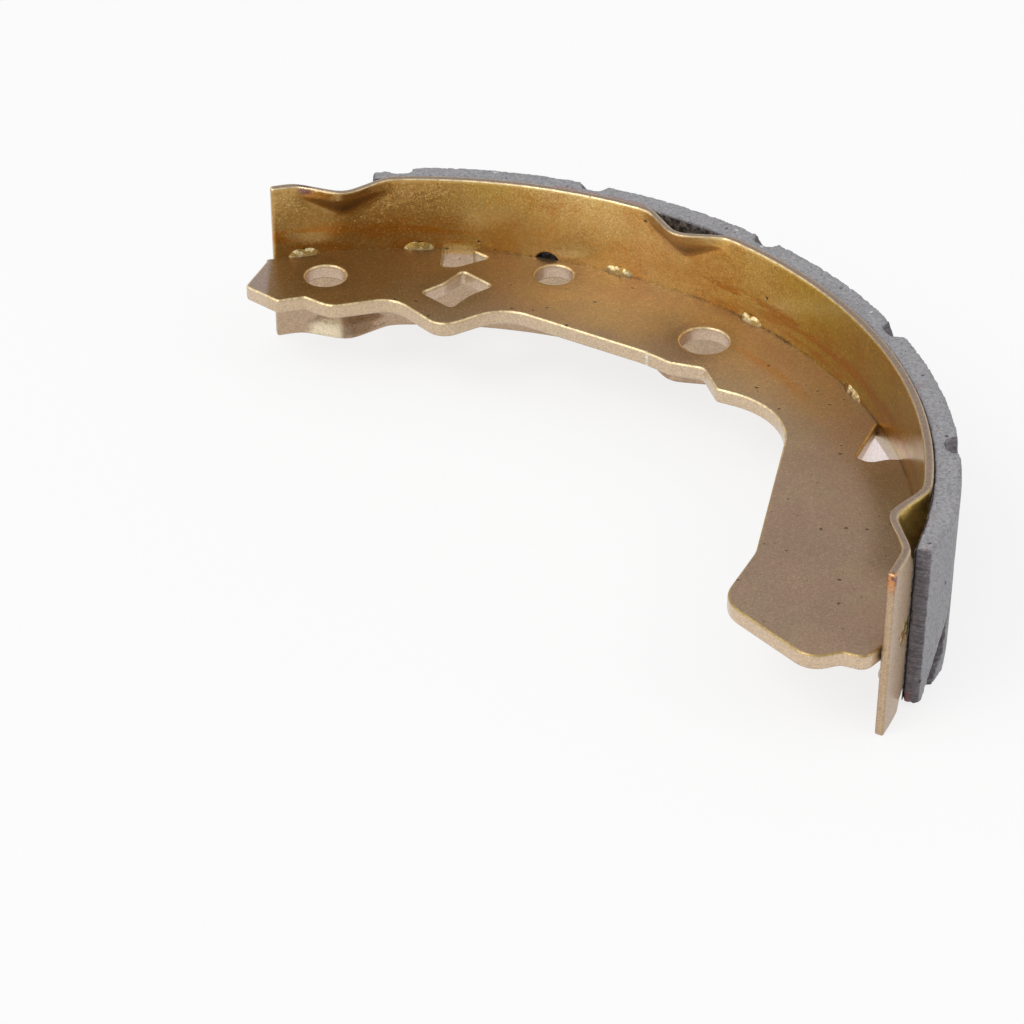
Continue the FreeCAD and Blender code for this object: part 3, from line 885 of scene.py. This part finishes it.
def make_adhesive():
    """Baked adhesive: nearly black crumbly film with grey grains and a few dark red spots."""
    material, tree, shader, place = start_material("adhesive")
    blotch = noise_value(tree, place, 500.0, 4.0, 0.7)
    crumbs = noise_value(tree, place, 900.0, 4.0, 0.75)
    grains = specks(tree, place, 600.0, 0.3, 0.2)
    grey = ramp_value(tree, crumbs, 0.4, 0.66)
    colour = mix_colour(tree, grey, (0.018, 0.015, 0.015), (0.2, 0.185, 0.175))
    colour = mix_colour(tree, times(tree, grains, 0.7), colour, (0.3, 0.28, 0.25))
    colour = mix_colour(tree, ramp_value(tree, blotch, 0.6, 0.68), colour, (0.2, 0.03, 0.02))
    tree.links.new(colour, shader.inputs["Base Color"])
    tree.links.new(ramp_value(tree, blotch, 0.3, 0.7, 0.4, 0.7), shader.inputs["Roughness"])
    bump(tree, shader, crumbs, 0.6 * MM, 0.9)
    return material


def make_floor_material():
    """White studio floor that keeps the shadow."""
    material, tree, shader, place = start_material("studio_floor")
    faint = noise_value(tree, place, 3.0, 2.0)
    colour = mix_colour(tree, faint, (0.92, 0.92, 0.92), (0.95, 0.95, 0.95))
    tree.links.new(colour, shader.inputs["Base Color"])
    shader.inputs["Roughness"].default_value = 0.9
    path = add_node(tree, "ShaderNodeLightPath").outputs
    seen = math_node(tree, "ADD", path["Is Camera Ray"], path["Is Glossy Ray"])
    seen = math_node(tree, "ADD", seen, path["Is Transmission Ray"], clamp=True)
    glow = add_node(tree, "ShaderNodeEmission", {"Color": (1.0, 1.0, 1.0, 1.0), "Strength": 1.0})
    share = math_node(tree, "MULTIPLY", seen, 0.8)
    surfaces = {0: share, 1: shader.outputs[0], 2: glow.outputs[0]}
    mixed = add_node(tree, "ShaderNodeMixShader", surfaces)
    output = next(n for n in tree.nodes if n.type == "OUTPUT_MATERIAL")
    tree.links.new(mixed.outputs[0], output.inputs["Surface"])
    return material


# Shapes


def node_bmesh(name):
    """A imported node's mesh as a bmesh with its loose triangles merged."""
    bm = bmesh.new()
    bm.from_mesh(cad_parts[name].data)
    bmesh.ops.remove_doubles(bm, verts=bm.verts, dist=2.0 * TINY)
    bmesh.ops.dissolve_degenerate(bm, dist=TINY, edges=bm.edges)
    return bm


def add_piece(name, bm, material, node):
    """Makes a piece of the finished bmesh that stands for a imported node."""
    mesh = bpy.data.meshes.new(name)
    bm.to_mesh(mesh)
    bm.free()
    piece = bpy.data.objects.new(name, mesh)
    bpy.context.scene.collection.objects.link(piece)
    mesh.materials.append(material)
    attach(piece, BODY)
    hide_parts(node)
    return piece


def edge_middle(edge):
    """The middle of an edge."""
    return (edge.verts[0].co + edge.verts[1].co) / 2.0


def is_level(face):
    """Whether a face looks straight up or down."""
    return abs(face.normal.z) > 0.99


def on_free_edge(edge):
    """Whether an edge borders the web's level faces and doesn't lie along its seat on the rim."""
    seat_radius = RIM_OUTER_RADIUS - 1.8 * MM
    return any(map(is_level, edge.link_faces)) and edge_middle(edge).xy.length < seat_radius


def on_rim_border(edge):
    """Whether an edge borders the rim's level faces, one of its ends or a weld hole."""
    if any(map(is_level, edge.link_faces)):
        return True
    middle = edge_middle(edge)
    angle = math.degrees(math.atan2(middle.y, middle.x))
    at_end = angle < WIDE_END + 0.5 or angle > NARROW_END - 0.4
    weld_reach = 2.6 * MM
    return at_end or abs(middle.z - RIM_MIDDLE) < weld_reach


def close_tails(bm):
    """Draws the small ledges where the dents run out together to points."""
    edges = {}
    for face in bm.faces:
        height = face.calc_center_median().z
        off_edges = 3.0 * MM < height < RIM_TOP - 3.0 * MM
        off_welds = abs(height - RIM_MIDDLE) > 4.0 * MM
        if off_edges and off_welds and is_level(face) and face.calc_area() < 2.0 * MM ** 2:
            edges.update(dict.fromkeys(face.edges))
    bmesh.ops.collapse(bm, edges=list(edges), uvs=False)


def dent_centres(bm):
    """Angles of the dents' noses, one for each group of vertices far inside the rim."""
    nose_radius = RIM_INNER_RADIUS - 3.5 * MM
    deep = sorted(math.atan2(v.co.y, v.co.x) for v in bm.verts if v.co.xy.length < nose_radius)
    groups = [[deep[0]]]
    for angle in deep[1:]:
        if angle - groups[-1][-1] > 0.1:
            groups.append([])
        groups[-1].append(angle)
    return [(group[0] + group[-1]) / 2.0 for group in groups]


def skin_radius(tree, angle, height, outer):
    """Radius of the sheet's inner or outer skin at an angle and height, or None beside it."""
    outward = Vector((math.cos(angle), math.sin(angle), 0.0))
    start = outward * (RIM_OUTER_RADIUS + 10.0 * MM if outer else RIM_INNER_RADIUS - 20.0 * MM)
    start.z = height
    hit = tree.ray_cast(start, -outward if outer else outward)[0]
    return None if hit is None else hit.xy.length


def mean_shift(source, angle, height, reach, outer):
    """How far a skin's mean radius over a short arc lies from its radius at the angle."""
    here = skin_radius(source, angle, height, outer)
    if here is None:
        return 0.0
    total = weight = 0.0
    for k in range(-4, 5):
        found = skin_radius(source, angle + k / 4.0 * reach / RIM_OUTER_RADIUS, height, outer)
        if found is not None:
            share = 1.0 - abs(k) / 5.0
            total += share * found
            weight += share
    return total / weight - here


def cut_dents(bm, centres):
    """Gives the rim the edges that its eased dents need."""
    cuts = []
    for centre in centres:
        for k in range(-DENT_CUTS, DENT_CUTS + 1):
            angle = centre + DENT_CUT_STEP * k
            cuts.append((Vector((-math.sin(angle), math.cos(angle), 0.0)), 0.0))
    up = Vector((0.0, 0.0, 1.0))
    for k in range(LEVEL_CUTS):
        low = 0.8 * MM + LEVEL_CUT_STEP * k
        cuts += [(up, low), (up, RIM_TOP - low)]
    for normal, height in cuts:
        geom = list(bm.verts) + list(bm.edges) + list(bm.faces)
        place = (0.0, 0.0, height)
        bmesh.ops.bisect_plane(bm, geom=geom, dist=TINY, plane_co=place, plane_no=normal)


def soften_dents(bm, source, reach):
    """Eases the bends of the pressed dents: each skin takes its mean radius along a short arc."""
    centres = dent_centres(bm)
    cut_dents(bm, centres)
    moved = []
    for vert in bm.verts:
        angle = math.atan2(vert.co.y, vert.co.x)
        height = min(RIM_TOP - 0.1 * MM, max(0.1 * MM, vert.co.z))
        off_dents = min(abs(angle - centre) for centre in centres) > DENT_SPREAD
        if off_dents or DENT_HEIGHT < height < RIM_TOP - DENT_HEIGHT:
            continue
        inner = skin_radius(source, angle, height, False)
        outer = skin_radius(source, angle, height, True)
        if inner is None or outer is None:
            continue
        radius = vert.co.xy.length
        across = min(1.0, max(0.0, (radius - inner) / (outer - inner)))
        shift = mean_shift(source, angle, height, reach, False) * (1.0 - across)
        shift += mean_shift(source, angle, height, reach, True) * across
        moved.append((vert, 1.0 + shift / radius))
    for vert, scale in moved:
        vert.co.x *= scale
        vert.co.y *= scale


def smooth_faces(bm):
    """Shades a closed mesh smooth with sharp lines only at its hard bends."""
    if not all(edge.is_manifold for edge in bm.edges):
        raise RuntimeError("the rounded mesh has open edges")
    for face in bm.faces:
        face.smooth = True
    for edge in bm.edges:
        edge.smooth = edge.calc_face_angle(0.0) <= SHARP_BEND


def round_edges(bm, radius, segments, chosen):
    """Rounds the chosen sharp edges of a merged mesh."""
    bmesh.ops.dissolve_limit(
        bm,
        angle_limit=math.radians(0.6),
        use_dissolve_boundaries=False,
        verts=bm.verts,
        edges=bm.edges,
    )
    sharp = [e for e in bm.edges if e.is_manifold and e.calc_face_angle(0.0) > SHARP_BEND]
    sharp = [e for e in sharp if chosen(e)]
    bmesh.ops.bevel(
        bm,
        geom=sharp,
        offset=radius,
        offset_type="OFFSET",
        affect="EDGES",
        segments=segments,
        profile=0.5,
        material=-1,
        clamp_overlap=False,
        loop_slide=False,
    )


def weigh_normals(piece):
    """Keeps large flat faces flat beside the rounded edges."""
    modifier = piece.modifiers.new("flat_faces", "WEIGHTED_NORMAL")
    modifier.keep_sharp = True
    modifier.weight = 60


def remesh(bm, voxel):
    """Even mesh of small faces over a closed solid."""
    mesh = bpy.data.meshes.new("remesh_source")
    bm.to_mesh(mesh)
    bm.free()
    holder = bpy.data.objects.new("remesh_holder", mesh)
    bpy.context.scene.collection.objects.link(holder)
    modifier = holder.modifiers.new("even", "REMESH")
    modifier.mode = "VOXEL"
    modifier.voxel_size = voxel
    bpy.context.view_layer.update()
    finished = holder.evaluated_get(bpy.context.evaluated_depsgraph_get())
    even = bpy.data.meshes.new_from_object(finished)
    bpy.data.objects.remove(holder)
    bpy.data.meshes.remove(mesh)
    fine = bmesh.new()
    fine.from_mesh(even)
    bpy.data.meshes.remove(even)
    return fine


def smooth_step(value, low, high):
    """Eased share of the way from low to high."""
    share = min(1.0, max(0.0, (value - low) / (high - low)))
    return share * share * (3.0 - 2.0 * share)


def cut_share(place, normal):
    """How far a spot of the lining belongs to a sawn end, a groove or its back."""
    radius = math.hypot(place.x, place.y)
    outward = Vector((place.x / radius, place.y / radius, 0.0))
    facing = normal.dot(outward)
    wall = smooth_step(abs(normal.dot(Vector((-outward.y, outward.x, 0.0)))), 0.4, 0.65)
    back = smooth_step(-facing, 0.4, 0.8)
    floor = smooth_step(DRUM_RADIUS - radius, 2.0 * MM, 2.3 * MM) * smooth_step(facing, 0.5, 0.8)
    return max(wall, back, floor)


def chip_surface(bm, friction):
    """Roughens the lining inwards: shallow pits everywhere and deeper chips along the edges."""
    cut = bm.verts.layers.float.new("cut")
    chipped = bm.verts.layers.float.new("chipped")
    bm.normal_update()
    before = []
    for vert in bm.verts:
        vert[cut] = cut_share(vert.co, vert.normal)
        before.append(vert.co.copy())
    for _ in range(4):
        bmesh.ops.smooth_vert(
            bm, verts=bm.verts, factor=0.5, use_axis_x=True, use_axis_y=True, use_axis_z=True
        )
    bm.normal_update()
    corner_depth = 0.25 * friction.grain_size
    for vert, old in zip(bm.verts, before):
        edge = min(1.0, (vert.co - old).length / corner_depth)
        chip = noise.noise(old / friction.chip_size)
        chip += 0.4 * noise.noise(old / (0.4 * friction.chip_size))
        bite = max(0.0, noise.noise(old / (3.4 * friction.chip_size)) - 0.2)
        pit = max(0.0, noise.noise(old / PIT_SIZE) - 0.2)
        depth = friction.chip_depth * (0.9 * max(0.0, chip) + 0.8 * bite) * edge
        vert[chipped] = min(1.0, depth / friction.chip_depth * 1.5)
        vert.co = vert.co.lerp(old, 0.4) - vert.normal * (depth + pit * PIT_DEPTH)
    for face in bm.faces:
        face.smooth = True


# Operators, one for each piece


class BRAKESHOE_OT_web(bpy.types.Operator):
    """Round the web's edges and paint it"""

    bl_idname = "brakeshoe.web"
    bl_label = "Web"

    def execute(self, context):
        steel = context.scene.shoe_steel
        bm = node_bmesh("web")
        round_edges(bm, steel.web_edge_radius, steel.edge_segments, on_free_edge)
        smooth_faces(bm)
        weigh_normals(add_piece("web_painted", bm, make_web_paint(steel), "web"))
        return {"FINISHED"}


class BRAKESHOE_OT_rim(bpy.types.Operator):
    """Round the rim's edges and paint it"""

    bl_idname = "brakeshoe.rim"
    bl_label = "Rim"

    def execute(self, context):
        steel = context.scene.shoe_steel
        bm = node_bmesh("rim")
        close_tails(bm)
        source = BVHTree.FromBMesh(bm)
        round_edges(bm, steel.rim_edge_radius, steel.edge_segments, on_rim_border)
        soften_dents(bm, source, steel.bend_reach)
        smooth_faces(bm)
        weigh_normals(add_piece("rim_painted", bm, make_rim_paint(steel), "rim"))
        return {"FINISHED"}


class BRAKESHOE_OT_welds(bpy.types.Operator):
    """Shade the plug welds smooth and paint them as glossy beads"""

    bl_idname = "brakeshoe.welds"
    bl_label = "Plug Welds"

    def execute(self, context):
        bm = node_bmesh("plug_welds")
        for face in bm.faces:
            face.smooth = True
        for edge in bm.edges:
            edge.smooth = edge.calc_face_angle(0.0) < math.radians(40.0)
        add_piece("weld_beads", bm, make_weld_metal(), "plug_welds")
        return {"FINISHED"}


class BRAKESHOE_OT_lining(bpy.types.Operator):
    """Roughen and chip the friction lining"""

    bl_idname = "brakeshoe.lining"
    bl_label = "Lining"

    def execute(self, context):
        friction = context.scene.shoe_friction
        bm = remesh(node_bmesh("lining"), friction.grain_size)
        chip_surface(bm, friction)
        add_piece("lining_block", bm, make_friction(friction), "lining")
        return {"FINISHED"}


class BRAKESHOE_OT_bond(bpy.types.Operator):
    """Give the film of adhesive its finish"""

    bl_idname = "brakeshoe.bond"
    bl_label = "Adhesive Film"

    def execute(self, context):
        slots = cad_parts["bond_film"].data.materials
        slots.clear()
        slots.append(make_adhesive())
        return {"FINISHED"}


class BRAKESHOE_OT_stage(bpy.types.Operator):
    """Set up the floor, the light and the camera"""

    bl_idname = "brakeshoe.stage"
    bl_label = "Stage"

    def execute(self, context):
        stage = context.scene.shoe_stage
        self.add_floor(stage)
        self.add_light(stage)
        self.add_sky(context.scene, stage)
        self.add_camera(context.scene)
        context.scene.view_settings.view_transform = "Standard"
        return {"FINISHED"}

    def add_floor(self, stage):
        """A wide plane under the shoe"""
        bm = bmesh.new()
        bmesh.ops.create_grid(bm, x_segments=1, y_segments=1, size=stage.floor_size / 2.0)
        mesh = bpy.data.meshes.new("floor")
        bm.to_mesh(mesh)
        bm.free()
        mesh.materials.append(make_floor_material())
        floor = bpy.data.objects.new("floor", mesh)
        bpy.context.scene.collection.objects.link(floor)

    def add_light(self, stage):
        """One soft lamp from the upper left and a weaker one from the right"""
        target = (cad_box[0] + cad_box[1]) / 2.0
        for name, place, share in LAMPS:
            data = bpy.data.lights.new(name, "AREA")
            data.energy = stage.key_power * share
            data.size = LAMP_SIZE
            lamp = bpy.data.objects.new(name, data)
            lamp.location = place
            lamp.rotation_euler = (target - Vector(place)).to_track_quat("-Z", "Y").to_euler()
            bpy.context.scene.collection.objects.link(lamp)

    def add_sky(self, scene, stage):
        """A studio that is white near the floor and to the left, and dimmer elsewhere"""
        world = bpy.data.worlds.new("studio")
        world.use_nodes = True
        scene.world = world
        tree = world.node_tree
        direction = add_node(tree, "ShaderNodeTexCoord").outputs["Generated"]
        height = split_parts(tree, direction)[2]
        near_floor = ramp_value(tree, height, 0.0, 0.4, 1.0, stage.sky_level)
        left = vector_math(tree, "DOT_PRODUCT", direction, BRIGHT_SIDE)
        left = ramp_value(tree, left, 0.35, 0.95, 0.0, 1.15)
        back = next(n for n in tree.nodes if n.type == "BACKGROUND")
        back.inputs["Color"].default_value = (1.0, 1.0, 1.0, 1.0)
        tree.links.new(math_node(tree, "MAXIMUM", near_floor, left), back.inputs["Strength"])

    def add_camera(self, scene):
        """Camera that looks down on the shoe from the side of the drum's axis"""
        data = bpy.data.cameras.new("camera")
        data.sensor_width = SENSOR_WIDTH
        data.lens = CAMERA_LENS
        data.clip_start = 0.05
        data.clip_end = 20.0
        camera = bpy.data.objects.new("camera", data)
        right = Vector((1.0, 0.0, 0.0))
        up = Vector((0.0, math.sin(CAMERA_PITCH), math.cos(CAMERA_PITCH)))
        forward = Vector((0.0, math.cos(CAMERA_PITCH), -math.sin(CAMERA_PITCH)))
        across = right * math.cos(CAMERA_ROLL) + up * math.sin(CAMERA_ROLL)
        upright = up * math.cos(CAMERA_ROLL) - right * math.sin(CAMERA_ROLL)
        turn = Matrix((across, upright, -forward)).transposed()
        camera.matrix_world = Matrix.Translation(CAMERA_PLACE) @ turn.to_4x4()
        scene.collection.objects.link(camera)
        scene.camera = camera


OPERATORS = (
    BRAKESHOE_OT_web,
    BRAKESHOE_OT_rim,
    BRAKESHOE_OT_welds,
    BRAKESHOE_OT_lining,
    BRAKESHOE_OT_bond,
    BRAKESHOE_OT_stage,
)


class BRAKESHOE_PT_panel(bpy.types.Panel):
    """Lists the shoe's pieces"""

    bl_label = "Brake Shoe"
    bl_idname = "BRAKESHOE_PT_panel"
    bl_space_type = "VIEW_3D"
    bl_region_type = "UI"
    bl_category = "Brake Shoe"

    def draw(self, context):
        for operator in OPERATORS:
            self.layout.operator(operator.bl_idname)
        for holder, _ in GROUPS:
            group = getattr(context.scene, holder)
            box = self.layout.box()
            for name in group.bl_rna.properties.keys():
                if name not in {"rna_type", "name"}:
                    box.prop(group, name)


GROUPS = (("shoe_steel", ShoeSteel), ("shoe_friction", ShoeFriction), ("shoe_stage", ShoeStage))


def register():
    for name, group in GROUPS:
        bpy.utils.register_class(group)
        setattr(bpy.types.Scene, name, bpy.props.PointerProperty(type=group))
    for operator in OPERATORS:
        bpy.utils.register_class(operator)
    bpy.utils.register_class(BRAKESHOE_PT_panel)


def unregister():
    bpy.utils.unregister_class(BRAKESHOE_PT_panel)
    for operator in reversed(OPERATORS):
        bpy.utils.unregister_class(operator)
    for name, group in reversed(GROUPS):
        delattr(bpy.types.Scene, name)
        bpy.utils.unregister_class(group)


def main():
    register()
    make_groups()
    for operator in OPERATORS:
        group, name = operator.bl_idname.split(".")
        getattr(getattr(bpy.ops, group), name)()


if __name__ == "__main__":
    main()
